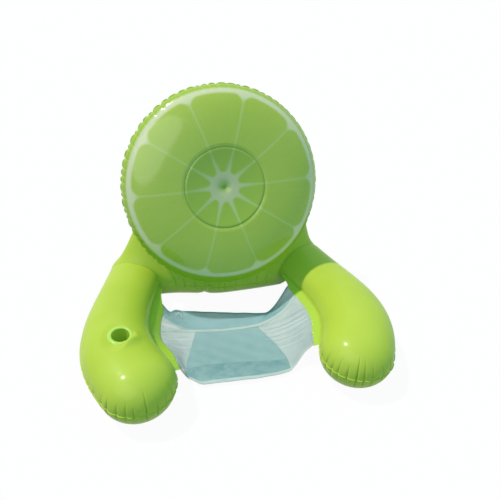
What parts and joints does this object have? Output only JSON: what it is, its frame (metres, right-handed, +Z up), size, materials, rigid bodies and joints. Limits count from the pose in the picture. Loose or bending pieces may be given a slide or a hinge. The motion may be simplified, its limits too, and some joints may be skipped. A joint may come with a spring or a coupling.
{
  "type": "inflatable pool chair",
  "caption": "Blow-up pool chair: round citrus-slice backrest in a horned cradle, two fat arms, a mesh sling seat and a cup holder let into one arm.",
  "frame": {"origin": "centre of the chair's footprint box on the floor that the arms and the cradle stand on", "axes": "+X to the viewer's right of a person who faces the chair, along its width; -Y out of the front, where the sitter's legs go; +Z up"},
  "size_m": [1.245, 0.9728, 0.8916],
  "materials": {
    "lime_vinyl": "glossy",
    "lime_rim_vinyl": "glossy",
    "citrus_print_vinyl": "glossy, printed with pale webs, core and rim ring",
    "clear_valve_vinyl": "glossy, milky clear",
    "white_seat_mesh": "matt open mesh",
    "aqua_seat_mesh": "matt open mesh",
    "teal_seat_mesh": "matt open mesh"
  },
  "bodies": {
    "chair": {"backrest_front_panel": "citrus_print_vinyl", "backrest_back_panel": "lime_vinyl", "backrest_ring_baffle": "lime_vinyl", "backrest_valve_flange": "clear_valve_vinyl", "cradle_top_panel": "lime_vinyl", "cradle_bottom_panel": "lime_vinyl", "cradle_valve_flange": "clear_valve_vinyl", "left_arm_top_panel": "lime_vinyl", "left_arm_bottom_panel": "lime_vinyl", "left_arm_bulkhead": "lime_vinyl", "right_arm_top_panel": "lime_vinyl", "right_arm_bottom_panel": "lime_vinyl", "right_arm_bulkhead": "lime_vinyl", "cup_wall": "lime_vinyl", "cup_floor": "lime_vinyl", "cup_rim_ring": "lime_rim_vinyl", "left_seat_strip": "lime_vinyl", "right_seat_strip": "lime_vinyl", "seat_rear_band": "teal_seat_mesh", "seat_center_panel": "aqua_seat_mesh", "seat_left_panel": "white_seat_mesh", "seat_right_panel": "white_seat_mesh", "seat_rear_binding": "white_seat_mesh", "seat_cross_binding": "white_seat_mesh", "seat_front_binding": "white_seat_mesh", "seat_rear_tab": "white_seat_mesh"},
    "backrest_stem": {"backrest_valve_stem": "clear_valve_vinyl"},
    "backrest_plug": {"backrest_valve_plug": "clear_valve_vinyl"},
    "backrest_flap": {"backrest_valve_flap": "clear_valve_vinyl"},
    "cradle_stem": {"cradle_valve_stem": "clear_valve_vinyl"},
    "cradle_plug": {"cradle_valve_plug": "clear_valve_vinyl"},
    "cradle_flap": {"cradle_valve_flap": "clear_valve_vinyl"}
  },
  "joints": [
    {"name": "backrest_stem_slide", "type": "slide", "parent": "chair", "child": "backrest_stem", "axis": [0, 0.9003, -0.4352], "range_m": [0, 0.012]},
    {"name": "backrest_plug_hinge", "type": "hinge", "parent": "backrest_stem", "child": "backrest_plug", "pos_m": [-0.21685, 0.33412, 0.43653], "axis": [-0.2588, 0.4204, 0.8696], "range_deg": [0, 150]},
    {"name": "backrest_flap_hinge", "type": "hinge", "parent": "backrest_stem", "child": "backrest_flap", "pos_m": [-0.21424, 0.31588, 0.44612], "axis": [0.2588, -0.4204, -0.8696], "range_deg": [0, 60]},
    {"name": "cradle_stem_slide", "type": "slide", "parent": "chair", "child": "cradle_stem", "axis": [0, 0.6691, 0.7431], "range_m": [0, 0.012]},
    {"name": "cradle_plug_hinge", "type": "hinge", "parent": "cradle_stem", "child": "cradle_plug", "pos_m": [0.0095, 0.33247, 0.26996], "axis": [0, 0.7431, -0.6691], "range_deg": [0, 150]},
    {"name": "cradle_flap_hinge", "type": "hinge", "parent": "cradle_stem", "child": "cradle_flap", "pos_m": [0.0068, 0.31869, 0.25465], "axis": [0, -0.7431, 0.6691], "range_deg": [0, 60]}
  ]
}
